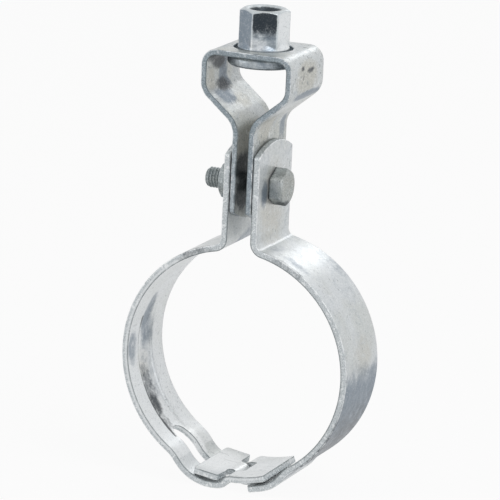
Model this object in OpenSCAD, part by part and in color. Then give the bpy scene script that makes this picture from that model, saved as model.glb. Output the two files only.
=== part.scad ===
// Hanging pipe clamp with a swivel nut.
// Two half bands hook together under the pipe and bolt to a folded yoke above it.
// Origin at the pipe's centre, Y along the pipe, Z up the hanging rod, millimetres.

/* [Pipe and band] */
// Outside diameter of the pipe that the band grips
pipe_d = 89.1; // [76.3:0.1:114.3]
// Thickness of the band's strap
band_t = 2.6; // [2:0.1:3.2]
// Width of the band's strap, along the pipe
band_w = 32; // [28:0.5:40]
// Inside radius of the bend at the foot of each ear
foot_r = 3; // [2:0.1:5]

/* [Ears and bolt] */
// Height of the clamp bolt's axis above the pipe's centre
bolt_z = 68.5; // [66:0.5:80]
// Height of the ears' corners above the bolt's axis
ear_rise = 13.5; // [10:0.1:15]
// Radius of the curved ends of the ears and of the yoke's legs
strap_end_r = 32; // [24:0.5:60]
// Diameter of the clamp bolt
bolt_d = 8; // [6:0.5:8.5]
// Length of the bolt under its head
bolt_l = 28; // [26:1:40]
// Radial clearance of the bolt in its four holes
hole_clear = 0.5; // [0.3:0.1:1]
// Width across flats of the bolt's head and of its nut
bolt_af = 13; // [11:0.5:14]
// Height of the bolt's head
head_h = 5.5; // [4:0.1:6]
// Height of the clamp nut
nut_h = 6.5; // [5:0.1:8]

/* [Yoke] */
// Thickness of the yoke's strap
yoke_t = 2.3; // [2:0.1:3]
// Outside width of the yoke's box, across the pipe
yoke_span = 37.2; // [36:0.2:44]
// Height of the yoke's top face above the bolt's axis
yoke_h = 53.3; // [50:0.1:60]
// Height of the yoke's upright side, from the top face to the slant's corner
side_h = 16.5; // [15:0.1:20]
// Angle of the slants from upright
slant_a = 50; // [40:1:55]
// Inside radius of the yoke's top corners
corner_r = 3.7; // [3:0.1:4]
// Inside radius of the bend between each upright side and its slant
side_r = 6; // [3:0.5:7]
// Radius of the hollow bend between each slant and its leg
leg_r = 8; // [3:0.5:10]
// Gap between the yoke's two legs
leg_gap = 4.4; // [4:0.1:8]
// Depth of the legs' corners below the bolt's axis
leg_drop = 8.8; // [7:0.1:9]
// Running gap between each leg and the ear beside it
leg_clear = 0.3; // [0.2:0.05:0.6]

/* [Swivel nut] */
// Diameter of the threaded rod that the nut takes
rod_d = 9.5; // [8:0.1:12]
// Depth of the rod's thread
thread_depth = 0.75; // [0.5:0.05:1]
// Width across flats of the swivel nut
swivel_af = 17; // [16:0.5:19]
// Turn of the swivel nut on the rod, away from two flats square across the pipe
swivel_turn = 6.4; // [0:0.1:30]
// Height of the swivel nut above the yoke's top face
swivel_h = 14.9; // [12:0.1:20]
// Height of the cone that blends the hexagon into the round collar
cone_h = 2.2; // [1:0.1:4]
// Radius of the countersink at the nut's top
mouth_r = 6.7; // [6:0.1:7]
// Radial gap between the collar and the yoke's top hole
collar_gap = 1.4; // [0.3:0.1:2]
// Overlap of the flange under the edge of the yoke's hole
flange_lap = 2.3; // [1.5:0.1:3]
// Thickness of the flange
flange_t = 4.2; // [3:0.1:5]
// Running gap between the flange and the yoke
flange_clear = 0.3; // [0.2:0.05:0.5]

/* [Hook] */
// Width of the slot's lower end, where the neck lies
slot_w = 12; // [10:0.5:14]
// Width of the slot above it
slit_w = 9; // [7:0.5:10]
// Length of the slot's wide lower end, in which the neck can be turned
slot_room = 14; // [12:0.5:15]
// Width of the flat floor of the channel that is pressed above the slot
channel_w = 10.6; // [8:0.1:12]
// Depth of the pressed channel
channel_depth = 1.2; // [0.8:0.1:1.4]
// Distance of the slot's top end from the band's lowest point, along the band
slot_reach = 34.7; // [32:0.1:38]
// Distance of the channel's top end from the band's lowest point, along the band
channel_reach = 89.7; // [70:0.1:94]
// Length of the crossbar that closes the slot
bar_l = 13; // [10:0.5:14]
// Distance of the slot's lower end past the band's lowest point
slot_past = 2.8; // [2:0.1:3.4]
// Length of flat strap between the dip and the slot's lower end
bar_root = 1.5; // [1:0.1:3]
// Depth of the dip in the left half's rails
dip_h = 4.3; // [4.2:0.1:5]
// Length of the dip, along the band
dip_l = 30; // [28:0.5:34]
// Radius of the hollow bend by which the strap leaves the pipe for the dip
entry_r = 15; // [10:0.5:18]
// Outer radius of the dip itself
bowl_r = 19.5; // [17:0.5:24]
// Clearance between the neck and each side of the slot
neck_clear = 0.5; // [0.3:0.1:1]
// Gap between the crossbar and the neck that passes under it
under_gap = 0.9; // [0.4:0.1:1.2]
// Distance of the right half's shoulders past the slot's lower end
shoulder_past = 4.9; // [3:0.1:7]
// Distance of the T-head's near edge before the end of the dip
head_back = 5.5; // [5.3:0.1:5.8]
// Length of the T-head, along the band
head_l = 10.8; // [9:0.1:11]
// Length of the flat stretch at the T-head's far end
head_flat = 8; // [6:0.5:8.5]
// Height of the T-head's inner face outside the pipe's surface
head_lift = 0.5; // [0.3:0.05:0.5]
// Inside radius of the tight bends at the dip and the neck
crank_r = 2; // [1.5:0.1:3]
// Inside radius of the long joggle in the right half
joggle_r = 13; // [8:0.5:16]
// Distance of the joggle's lower end before the crossbar's free end
joggle_back = 1.8; // [0:0.1:4]

/* [Hidden] */
$fn = 96;
BOTTOM = 270;                     // angle of the band's lowest point, seen along the pipe
cut = 1;                          // how far a cutting shape runs past the face it cuts
pipe_r = pipe_d / 2;
skim = 0.05;                      // what truing the bore takes off the band's inside
ring_r = pipe_r - skim + band_t;  // outer radius of the band
ring_step = 3;                    // angle between the points of an arc round the pipe
bend_step = 7.5;                  // and of a bend
yoke_w = band_w;                  // the yoke is cut from strap of the band's width
stack_half = leg_gap / 2 + yoke_t + leg_clear + band_t;
bolt_r = bolt_d / 2;
hole_r = bolt_r + hole_clear;
ear_corner_z = bolt_z + ear_rise;
leg_corner_z = bolt_z - leg_drop;
yoke_top = bolt_z + yoke_h;
yoke_half = yoke_span / 2;
leg_half = leg_gap / 2 + yoke_t;  // rod's axis to a leg's outer face
slant_dx = yoke_half - leg_half;
slant_foot_z = yoke_top - side_h - slant_dx / tan(slant_a);
collar_past = 0.1;                // how far the collar stands out past the hexagon's corners
collar_r = swivel_af / 2 / cos(30) + collar_past;
yoke_hole_r = collar_r + collar_gap;
flange_r = yoke_hole_r + flange_lap;
flange_top = yoke_top - yoke_t - flange_clear;
bore_r = rod_d / 2 - thread_depth;
swivel_top = yoke_top + swivel_h;
tip_chamfer = 0.8;
hex_chamfer_a = 30;               // angle of the nuts' and the head's corner chamfers
swivel_flat_r = swivel_af / 2 - 0.5;  // flat circle on the swivel nut's top
bolt_flat_r = bolt_af / 2 - 0.3;      // and on the faces of the bolt's head and its nut
flange_edge = 1;                  // chamfer of the flange's rim
bore_sides = 180;                 // facets of the cylinder that trues the band's inside
thread_gap = 0.05;                // radial gap between the clamp nut's bore and the bolt
neck_w = slot_w - 2 * neck_clear;
slot_end_a = BOTTOM + arc_a(slot_past);
left_end_a = BOTTOM + arc_a(slot_past + bar_l);
dip_end_a = slot_end_a - arc_a(bar_root);
dip_start_a = dip_end_a - arc_a(dip_l);
deepest_a = dip_start_a + joggle_span(ring_r, dip_h, entry_r, bowl_r);
head_r = ring_r + head_lift;                    // outer radius of the T-head
tuck_h = band_t + under_gap;                    // how far the right half steps out under the bar
neck_bend_a = BOTTOM + arc_a(slot_past - neck_clear);
neck_step = tuck_h - head_lift;
neck_span = joggle_span(head_r, neck_step, crank_r, crank_r + band_t);
shoulder_a = slot_end_a + arc_a(shoulder_past);
head_near_a = dip_end_a - arc_a(head_back);
head_flat_a = head_near_a - arc_a(head_l - head_flat);
joggle_end_a = left_end_a - arc_a(joggle_back);
joggle_sweep = joggle_span(ring_r, tuck_h, joggle_r, joggle_r + band_t);
slot_round_a = BOTTOM - arc_a(slot_reach - slit_w / 2);
slot_room_a = slot_end_a - arc_a(slot_room);
swell = 0.1;                                    // how far the slot's round end stands past its sides
channel_top_a = BOTTOM - arc_a(channel_reach);
channel_mid_a = (dip_start_a + channel_top_a) / 2;
channel_half = (dip_start_a - channel_top_a) / 2;
channel_shift = channel_depth / (1 - cos(channel_half));    // pipe's axis to the channel's own axis
channel_r = pipe_r + channel_depth - channel_shift;         // channel's floor about its own axis
channel_past = channel_half + 1;                            // cut a little past where it runs out
channel_turn = atan2(sin(channel_past), cos(channel_past) - channel_shift / pipe_r);

// Angle that a length along the band's outside takes up
function arc_a(l) = l / ring_r * 180 / PI;

// Sides of the triangle between the band's centre and the centres of a joggle's two bends.
// The joggle leaves the circle r outwards by a bend of radius q and joins r + h by one of radius p.
function near_side(r, q) = r + q;
function far_side(r, h, p) = r + h - p;
function joggle_span(r, h, q, p) =
    acos((pow(near_side(r, q), 2) + pow(far_side(r, h, p), 2) - pow(p + q, 2))
        / (2 * near_side(r, q) * far_side(r, h, p)));
function joggle_turn(r, h, q, p) =
    acos((pow(near_side(r, q), 2) + pow(p + q, 2) - pow(far_side(r, h, p), 2))
        / (2 * near_side(r, q) * (p + q)));
function polar(r, a) = [r * cos(a), r * sin(a)];
// Point at distance da from a and db from b, on the left of the way from a to b
function apex(a, da, b, db) =
    let (way = b - a, d = norm(way), x = (d * d + da * da - db * db) / (2 * d), y = sqrt(da * da - x * x))
    a + (x * way + y * [-way[1], way[0]]) / d;
// Direction from one point to another, as the angle that lies nearest to ref
function bearing(from, to, ref) =
    let (a = atan2(to[1] - from[1], to[0] - from[0]))
    a + 360 * round((ref - a) / 360);
function reversed(list) = [for (i = [len(list) - 1 : -1 : 0]) list[i]];

// A strap's side view is a chain of bends, each [centre, radius of face A, radius of face B, from, to].
// A straight stretch needs no entry, because it joins the ends of the bends beside it. A straight end is
// a bend that makes no turn.
function along(bend, face, step) =
    let (turn = bend[4] - bend[3], n = ceil(abs(turn) / step))
    [for (i = [0 : n]) bend[0] + polar(bend[face], bend[3] + (n > 0 ? turn * i / n : 0))];
function face_line(bends, face) =
    [for (bend = bends) each along(bend, face, norm(bend[0]) == 0 ? ring_step : bend_step)];
function backwards(bends) =
    [for (bend = reversed(bends)) [bend[0], bend[1], bend[2], bend[4], bend[3]]];

// Two bends of a joggle from the outer circle r at angle a out to r + h, towards rising or falling angles
function joggle(r, h, q, a, way) =
    let (p = q + band_t, turn = joggle_turn(r, h, q, p), far_a = a + way * joggle_span(r, h, q, p))
    [[polar(near_side(r, q), a), q, p, a + 180, a + 180 - way * turn],
     [polar(far_side(r, h, p), far_a), p, q, a - way * turn, far_a]];
function ring_arc(r, a0, a1) = [[0, 0], r, r - band_t, a0, a1];
// Flat end of length l that runs on from the ring at angle a, towards falling angles
function flat_end(r, a, l) = [polar(l, a - 90), r, r - band_t, a, a];

// Bends of the dip in the left half: out of the ring, round the bowl and back in by two tight bends
function dip() =
    let (crank_out = crank_r + band_t,
        entry = polar(near_side(ring_r, entry_r), dip_start_a),
        bowl = polar(far_side(ring_r, dip_h, bowl_r), deepest_a),
        exit = polar(near_side(ring_r, crank_r), dip_end_a),
        turn = apex(exit, crank_r + crank_out, bowl, bowl_r - crank_out))
    [[entry, entry_r, entry_r + band_t, dip_start_a + 180, bearing(entry, bowl, dip_start_a + 180)],
     [bowl, bowl_r, bowl_r - band_t, bearing(bowl, entry, dip_start_a), bearing(bowl, turn, BOTTOM)],
     [turn, crank_out, crank_r, bearing(bowl, turn, BOTTOM), bearing(turn, exit, BOTTOM)],
     [exit, crank_r, crank_r + band_t, bearing(exit, turn, dip_end_a - 180), dip_end_a - 180]];

// Foot of an ear on one side, 1 right or -1 left: the bend that turns it into the band
foot_x = stack_half + foot_r;
foot_z = sqrt(pow(ring_r + foot_r, 2) - pow(foot_x, 2));
function foot_a(side) = atan2(foot_z, side * foot_x);
function foot(side) =
    [[side * foot_x, foot_z], foot_r, foot_r + band_t, side > 0 ? 180 : 0, foot_a(side) + side * 180];

// Flat strap of width w from its side view, seen along the pipe
module strap(face_a, face_b, w) {
    translate([0, w / 2, 0])
        rotate([90, 0, 0])
            linear_extrude(w)
                polygon(concat(face_a, reversed(face_b)));
}

// Wedge of a ring round the pipe's axis, between two radii and two angles
module wedge(r_in, r_out, w, a0, a1) {
    rotate([90, 0, 0])
        rotate([0, 0, a0])
            rotate_extrude(angle = a1 - a0)
                translate([r_in, -w / 2])
                    square([r_out - r_in, w]);
}

// Cylinder that stands on the band like a spoke, for the slot's round end
module spoke(a, r, r_in, r_out) {
    rotate([0, -a, 0])
        translate([r_in, 0, 0])
            rotate([0, 90, 0])
                cylinder(h = r_out - r_in, r = r);
}

// Height of the centre of a strap's curved end, whose corners lie at corner_z, above (1) or below (-1)
function round_z(corner_z, w, side) = corner_z - side * sqrt(pow(strap_end_r, 2) - pow(w / 2, 2));
// Height of the raw end that a strap has before it is rounded
function raw_z(corner_z, w, side) = round_z(corner_z, w, side) + side * (strap_end_r + cut);

// Waste beyond the curved end of a strap
module end_waste(x, t, w, corner_z, side) {
    centre_z = round_z(corner_z, w, side);
    difference() {
        translate([x - cut, -w / 2 - cut, centre_z + min(0, side * (strap_end_r + 2 * cut))])
            cube([t + 2 * cut, w + 2 * cut, strap_end_r + 2 * cut]);
        translate([x - 2 * cut, 0, centre_z])
            rotate([0, 90, 0])
                cylinder(h = t + 4 * cut, r = strap_end_r);
    }
}

// Hole for the clamp bolt, through everything on its axis
module bolt_hole() {
    translate([-yoke_span, 0, bolt_z])
        rotate([0, 90, 0])
            cylinder(h = 2 * yoke_span, r = hole_r);
}

// The pipe's own surface, which trues the band's inside
module pipe_bore() {
    rotate([90, 0, 0])
        cylinder(h = band_w + 2 * cut, r = pipe_r, center = true, $fn = bore_sides);
}

// Band half of one side from its bends: ear with a round end, bolt hole and a true inner face
module band_half(side, bends) {
    face_x = side * stack_half;
    back_x = face_x - side * band_t;
    top_z = raw_z(ear_corner_z, band_w, 1);
    difference() {
        strap(concat([[face_x, top_z]], face_line(bends, 1)),
            concat([[back_x, top_z]], face_line(bends, 2)), band_w);
        end_waste(min(face_x, back_x), band_t, band_w, ear_corner_z, 1);
        bolt_hole();
        pipe_bore();
    }
}

// Trough with flanks at 45 degrees, turned about the channel's own axis so that it runs out at both ends
module channel(r_in, r_out, w) {
    foot_w = w + 2 * (r_out - r_in);
    rotate([90, 0, 0])
        translate(polar(channel_shift, channel_mid_a))
            rotate([0, 0, channel_mid_a - channel_turn])
                rotate_extrude(angle = 2 * channel_turn)
                    polygon([[r_in, -foot_w / 2], [r_out, -w / 2], [r_out, w / 2], [r_in, foot_w / 2]]);
}

module left_band() {
    dip_r = ring_r + dip_h;
    bends = concat([foot(-1), ring_arc(ring_r, foot_a(-1), dip_start_a)], dip(),
        [ring_arc(ring_r, dip_end_a, left_end_a)]);
    color("silver")
        difference() {
            union() {
                band_half(-1, bends);
                channel(channel_r + band_t / 4, channel_r + band_t, channel_w + 2 * band_t * tan(45 / 2));
            }
            channel(channel_r - band_t, channel_r, channel_w);
            wedge(pipe_r - cut, dip_r + cut, slit_w, slot_round_a, slot_end_a);
            wedge(pipe_r - cut, dip_r + cut, slot_w, slot_room_a, slot_end_a);
            spoke(slot_round_a, slit_w / 2 + swell, pipe_r - cut, dip_r + cut);
        }
}

module right_band() {
    tuck_r = ring_r + tuck_h;
    joggle_a = joggle_end_a + joggle_sweep - 360;
    bends = concat(
        [foot(1), ring_arc(ring_r, foot_a(1), joggle_a)],
        joggle(ring_r, tuck_h, joggle_r, joggle_a, -1),
        [ring_arc(tuck_r, joggle_end_a - 360, neck_bend_a - 360)],
        backwards(joggle(head_r, neck_step, crank_r, neck_bend_a - 360 - neck_span, 1)),
        [ring_arc(head_r, neck_bend_a - 360 - neck_span, head_flat_a - 360),
            flat_end(head_r, head_flat_a - 360, head_flat)]);
    color("silver")
        difference() {
            band_half(1, bends);
            for (side = [-1, 1])
                translate([0, side * (neck_w + band_w) / 2, 0])
                    wedge(pipe_r - cut, tuck_r + cut, band_w, head_near_a, shoulder_a);
        }
}

module yoke() {
    corner_out = corner_r + yoke_t;
    side_out = side_r + yoke_t;
    reach = tan(slant_a / 2);
    leg_end = raw_z(leg_corner_z, yoke_w, -1);
    // One side's bends, from the middle of the top down to the leg
    bends = [
        [[yoke_half - corner_out, yoke_top - corner_out], corner_out, corner_r, 90, 0],
        [[yoke_half - side_out, yoke_top - side_h + side_out * reach], side_out, side_r, 0, -slant_a],
        [[leg_half + leg_r, slant_foot_z - leg_r * reach], leg_r, leg_r + yoke_t, 180 - slant_a, 180]];
    outer = concat(face_line(bends, 1), [[leg_half, leg_end]]);
    inner = concat(face_line(bends, 2), [[leg_half - yoke_t, leg_end]]);
    color("gainsboro")
        difference() {
            strap(concat(reversed(flipped(outer)), outer), concat(reversed(flipped(inner)), inner), yoke_w);
            for (side = [-1, 1])
                end_waste(side * (leg_half - yoke_t / 2) - yoke_t / 2, yoke_t, yoke_w, leg_corner_z, -1);
            translate([0, 0, yoke_top - yoke_t - cut])
                cylinder(h = yoke_t + 2 * cut, r = yoke_hole_r);
            bolt_hole();
        }
}
function flipped(points) = [for (p = points) [-p[0], p[1]]];

// Hexagonal prism with its corners chamfered at the top, and at the bottom where asked
module hexagon(af, h, flat_r, both_ends = false) {
    corner = af / 2 / cos(30);
    c = (corner - flat_r) * tan(hex_chamfer_a);
    low = both_ends ? c : 0;
    intersection() {
        cylinder(h = h, r = corner, $fn = 6);
        rotate_extrude()
            polygon([[0, 0], [both_ends ? flat_r : corner, 0], [corner, low],
                [corner, h - c], [flat_r, h], [0, h]]);
    }
}

module swivel_nut() {
    color("lightsteelblue")
        difference() {
            union() {
                translate([0, 0, yoke_top])
                    rotate([0, 0, 90 - swivel_turn])
                        hexagon(swivel_af, swivel_h, swivel_flat_r);
                translate([0, 0, yoke_top])
                    cylinder(h = cone_h, r1 = collar_r, r2 = swivel_af / 2);
                translate([0, 0, flange_top - flange_edge])
                    cylinder(h = yoke_top - flange_top + flange_edge, r = collar_r);
                translate([0, 0, flange_top - flange_t])
                    rotate_extrude()
                        polygon([[0, 0], [flange_r - flange_edge, 0], [flange_r, flange_edge],
                            [flange_r, flange_t - flange_edge], [flange_r - flange_edge, flange_t],
                            [0, flange_t]]);
            }
            translate([0, 0, flange_top - flange_t - cut])
                cylinder(h = swivel_top - flange_top + flange_t + 2 * cut, r = bore_r);
            translate([0, 0, swivel_top - (mouth_r - bore_r)])
                cylinder(h = mouth_r - bore_r + cut, r1 = bore_r, r2 = mouth_r + cut);
        }
}

module clamp_bolt() {
    color("darkgray")
        translate([stack_half, 0, bolt_z])
            union() {
                rotate([0, 90, 0])
                    hexagon(bolt_af, head_h, bolt_flat_r);
                rotate([0, -90, 0]) {
                    cylinder(h = bolt_l - tip_chamfer, r = bolt_r);
                    translate([0, 0, bolt_l - tip_chamfer])
                        cylinder(h = tip_chamfer, r1 = bolt_r, r2 = bolt_r - tip_chamfer);
                }
            }
}

module clamp_nut() {
    color("darkgray")
        translate([-stack_half, 0, bolt_z])
            rotate([0, -90, 0])
                rotate([0, 0, 90])
                    difference() {
                        hexagon(bolt_af, nut_h, bolt_flat_r, both_ends = true);
                        translate([0, 0, -cut])
                            cylinder(h = nut_h + 2 * cut, r = bolt_r + thread_gap);
                    }
}

swivel_nut();
yoke();
left_band();
right_band();
clamp_bolt();
clamp_nut();
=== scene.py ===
import math

import bmesh
import bpy
import numpy as np
from mathutils import Matrix, Vector, noise
from mathutils.geometry import delaunay_2d_cdt


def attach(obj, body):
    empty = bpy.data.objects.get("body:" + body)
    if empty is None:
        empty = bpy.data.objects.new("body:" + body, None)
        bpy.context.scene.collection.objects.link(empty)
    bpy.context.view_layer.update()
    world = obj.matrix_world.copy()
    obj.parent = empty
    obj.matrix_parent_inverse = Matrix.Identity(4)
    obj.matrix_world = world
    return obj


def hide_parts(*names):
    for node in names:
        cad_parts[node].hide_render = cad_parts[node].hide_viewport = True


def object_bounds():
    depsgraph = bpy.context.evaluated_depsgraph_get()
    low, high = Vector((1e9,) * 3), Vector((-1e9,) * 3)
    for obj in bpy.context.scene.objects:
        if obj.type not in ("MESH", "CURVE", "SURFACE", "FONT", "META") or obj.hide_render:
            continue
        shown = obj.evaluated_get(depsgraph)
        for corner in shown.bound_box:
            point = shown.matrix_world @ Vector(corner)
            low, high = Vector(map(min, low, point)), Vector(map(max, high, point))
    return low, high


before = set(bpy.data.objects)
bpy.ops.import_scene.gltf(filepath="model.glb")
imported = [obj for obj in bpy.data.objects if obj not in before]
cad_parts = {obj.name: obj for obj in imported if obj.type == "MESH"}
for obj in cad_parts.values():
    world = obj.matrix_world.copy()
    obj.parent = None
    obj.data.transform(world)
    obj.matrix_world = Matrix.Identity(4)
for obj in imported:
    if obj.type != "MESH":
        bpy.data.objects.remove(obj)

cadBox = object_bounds()
mm = 0.001
print("frame loaded")

# A strap is cut flat as a blank (s along it, y across it), then bent along its path.
# Lengths are in millimetres until a mesh is made.

sheet = {
    "edgeStep": 0.6,       # spacing of the points round an outline
    "gridStep": 1.25,      # spacing of the points inside it
    "bendStep": 8.0,       # largest turn between two rows, degrees
    "burr": 0.16,          # edge rounding on the face the punch leaves
    "roll": 0.42,          # and on the face it enters
    "support": 0.22,       # flat rim beside the rounding
}


def polar(radius, angle):
    a = math.radians(angle)
    return np.array([radius * math.cos(a), radius * math.sin(a)])


def turnFrom(a, b, near):
    # direction from a to b, as the angle that lies nearest to near
    t = math.degrees(math.atan2(b[1] - a[1], b[0] - a[0]))
    return t + 360 * round((near - t) / 360)


def apex(a, toA, b, toB):
    # point at distance toA from a and toB from b, on the left of the way from a to b
    way = b - a
    d = np.hypot(*way)
    x = (d * d + toA * toA - toB * toB) / (2 * d)
    return a + (way * x + np.array([-way[1], way[0]]) * math.sqrt(toA * toA - x * x)) / d


def bend(centre, faceA, faceB, start, end):
    return {"centre": np.array(centre, float), "a": faceA, "b": faceB, "from": start, "to": end}


def bendPoints(b, count):
    turns = [b["from"] + (b["to"] - b["from"]) * i / count for i in range(count + 1)]
    return [(b["centre"] + polar(b["a"], t), b["centre"] + polar(b["b"], t)) for t in turns]


def makePath(bends, first=None, last=None):
    # first and last are the two face points of a straight end
    fine, rows = [], []

    def add(points, keep):
        for i, p in enumerate(points):
            if fine and np.linalg.norm((fine[-1][0] + fine[-1][1] - p[0] - p[1]) / 2) < 1e-6:
                continue
            fine.append(p)
            if keep(i):
                rows.append(len(fine) - 1)

    def straight(p, q):
        gap = np.linalg.norm((q[0] + q[1] - p[0] - p[1]) / 2)
        if gap < 1e-6:
            return
        count = max(1, math.ceil(gap / sheet["gridStep"]))
        part = [(p[0] + (q[0] - p[0]) * i / count, p[1] + (q[1] - p[1]) * i / count)
                for i in range(count + 1)]
        add(part, lambda i: True)

    here = first
    for b in bends:
        length = math.radians(abs(b["to"] - b["from"])) * (b["a"] + b["b"]) / 2
        count = max(math.ceil(length / sheet["gridStep"]), math.ceil(abs(b["to"] - b["from"]) / sheet["bendStep"]))
        split = max(1, math.ceil(length / count / 0.2))
        points = bendPoints(b, count * split)
        if here is not None:
            straight(here, points[0])
        add(points, lambda i: i % split == 0)
        here = points[-1]
    if last is not None:
        straight(here, last)
    a = np.array([p[0] for p in fine])
    b = np.array([p[1] for p in fine])
    mid = (a + b) / 2
    s = np.concatenate([[0], np.cumsum(np.linalg.norm(np.diff(mid, axis=0), axis=1))])
    return {"s": s, "a": a, "b": b, "mid": mid, "rows": sorted(set(s[i] for i in rows)),
            "thick": float(np.linalg.norm(a[0] - b[0]))}


def placeOnPath(path, s, t):
    s = np.clip(s, path["s"][0], path["s"][-1])
    a = np.stack([np.interp(s, path["s"], path["a"][:, k]) for k in (0, 1)], 1)
    b = np.stack([np.interp(s, path["s"], path["b"][:, k]) for k in (0, 1)], 1)
    return a + (b - a) * (t / path["thick"])[:, None]


def lengthAt(path, value):
    # value is any quantity that rises or falls steadily along the stretch of path it is given for
    quantity, target, window = value
    s, q = path["s"], quantity(path["mid"])
    inside = (s >= window[0]) & (s <= window[1])
    s, q = s[inside], q[inside]
    order = np.argsort(q)
    return float(np.interp(target, q[order], s[order]))


def turnOf(mid):
    return np.degrees(np.arctan2(mid[:, 1], mid[:, 0])) % 360


def heightOf(mid):
    return mid[:, 1]


def arcPoints(centre, radius, start, end, step=0.6):
    count = max(3, math.ceil(abs(math.radians(end - start)) * radius / step))
    return [np.array(centre) + polar(radius, start + (end - start) * i / count) for i in range(count + 1)]


def roundedEnd(centreS, endRadius, width, corner, way):
    # curved strap end, from y = +width / 2 to y = -width / 2, with its two corners eased
    half = width / 2
    along = math.sqrt((endRadius - corner) ** 2 - (half - corner) ** 2)
    tilt = math.degrees(math.atan2(half - corner, along))
    if way > 0:
        upper = arcPoints((centreS + along, half - corner), corner, 90, tilt, 0.25)
        cap = arcPoints((centreS, 0), endRadius, tilt, -tilt)
        lower = arcPoints((centreS + along, corner - half), corner, -tilt, -90, 0.25)
    else:
        upper = arcPoints((centreS - along, half - corner), corner, 90, 180 - tilt, 0.25)
        cap = arcPoints((centreS, 0), endRadius, 180 - tilt, 180 + tilt)
        lower = arcPoints((centreS - along, corner - half), corner, 180 + tilt, 270, 0.25)
    return upper + cap[1:-1] + lower


def easeCorners(corners):
    # corners are (s, y, radius); radius 0 keeps the point
    done = []
    for i, (s, y, radius) in enumerate(corners):
        p = np.array([s, y], float)
        if radius == 0:
            done.append(p)
            continue
        before = np.array(corners[i - 1][:2], float) - p
        after = np.array(corners[(i + 1) % len(corners)][:2], float) - p
        before, after = before / np.linalg.norm(before), after / np.linalg.norm(after)
        half = math.acos(np.clip(before @ after, -1, 1)) / 2
        centre = p + (before + after) / np.linalg.norm(before + after) * radius / math.sin(half)
        p0, p1 = p + before * radius / math.tan(half), p + after * radius / math.tan(half)
        a0 = math.degrees(math.atan2(*(p0 - centre)[::-1]))
        a1 = math.degrees(math.atan2(*(p1 - centre)[::-1]))
        sweep = (a1 - a0 + 180) % 360 - 180
        done += arcPoints(centre, radius, a0, a0 + sweep, 0.25)
    return done


def spaced(points, step):
    # the same outline with long straight stretches divided
    out = []
    for i, p in enumerate(points):
        q = points[(i + 1) % len(points)]
        gap = np.linalg.norm(q - p)
        if gap < 1e-4:
            continue
        count = max(1, math.ceil(gap / step))
        out += [p + (q - p) * k / count for k in range(count)]
    return np.array(out)


def inwardNormals(loop, material):
    # unit steps into the metal at each point, longer at corners; material is +1 outside, -1 for a hole
    area = np.sum(loop[:, 0] * np.roll(loop[:, 1], -1) - np.roll(loop[:, 0], -1) * loop[:, 1])
    edges = np.roll(loop, -1, 0) - loop
    edges /= np.linalg.norm(edges, axis=1)[:, None]
    side = np.stack([-edges[:, 1], edges[:, 0]], 1) * np.sign(area) * material
    both = side + np.roll(side, 1, 0)
    both /= np.linalg.norm(both, axis=1)[:, None]
    return both / np.clip(np.sum(both * side, 1), 0.5, 1)[:, None]


def insideLoop(points, loop):
    x, y = points[:, 0][:, None], points[:, 1][:, None]
    x0, y0 = loop[:, 0][None], loop[:, 1][None]
    x1, y1 = np.roll(loop[:, 0], -1)[None], np.roll(loop[:, 1], -1)[None]
    crosses = (y0 > y) != (y1 > y)
    at = x0 + (y - y0) * (x1 - x0) / np.where(y1 == y0, 1e-12, y1 - y0)
    return np.sum(crosses & (x < at), axis=1) % 2 == 1


def fillFace(loops, rows, width, lines):
    # triangles between the first loop and the holes, through a grid of points; returns points and faces
    rim = np.concatenate(loops)
    step = sheet["gridStep"]
    across = np.linspace(-width / 2, width / 2, max(3, round(width / step)) + 1)
    across = np.array([y for y in across if all(abs(y - line) > 0.4 * step for line in lines)] + list(lines))
    grid = np.array([(s, y) for s in rows for y in across])
    keep = insideLoop(grid, loops[0])
    for hole in loops[1:]:
        keep &= ~insideLoop(grid, hole)
    grid = grid[keep]
    near = np.full(len(grid), 1e9)
    for chunk in np.array_split(rim, max(1, len(rim) // 200)):
        near = np.minimum(near, np.min(np.linalg.norm(grid[:, None] - chunk[None], axis=2), axis=1))
    grid = grid[near > 0.55 * step]
    points = np.concatenate([rim, grid])
    edges, start = [], 0
    for loop in loops:
        edges += [(start + i, start + (i + 1) % len(loop)) for i in range(len(loop))]
        start += len(loop)
    made = delaunay_2d_cdt([Vector(p) for p in points], edges, [], 1, 1e-7)
    source = [o[0] for o in made[3]]
    faces = np.array([[source[i] for i in f] for f in made[2]])
    middle = points[faces].mean(axis=1)
    good = insideLoop(middle, loops[0])
    for hole in loops[1:]:
        good &= ~insideLoop(middle, hole)
    return grid, faces[good]


def edgeProfile(thick):
    # (distance in from the outline, depth under face A) from face A round the cut edge to face B
    roll, burr = sheet["roll"], sheet["burr"]
    points = [(roll + sheet["support"], 0.0)]
    points += [(roll * (1 - math.sin(a)), roll * (1 - math.cos(a))) for a in np.radians([0, 25, 50, 72, 90])]
    points += [(0.0, roll + (thick - roll - burr) * k / 4) for k in (1, 2, 3)]
    points += [(burr * (1 - math.cos(a)), thick - burr * (1 - math.sin(a))) for a in np.radians([0, 40, 90])]
    return points + [(burr + sheet["support"], thick)]


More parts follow.
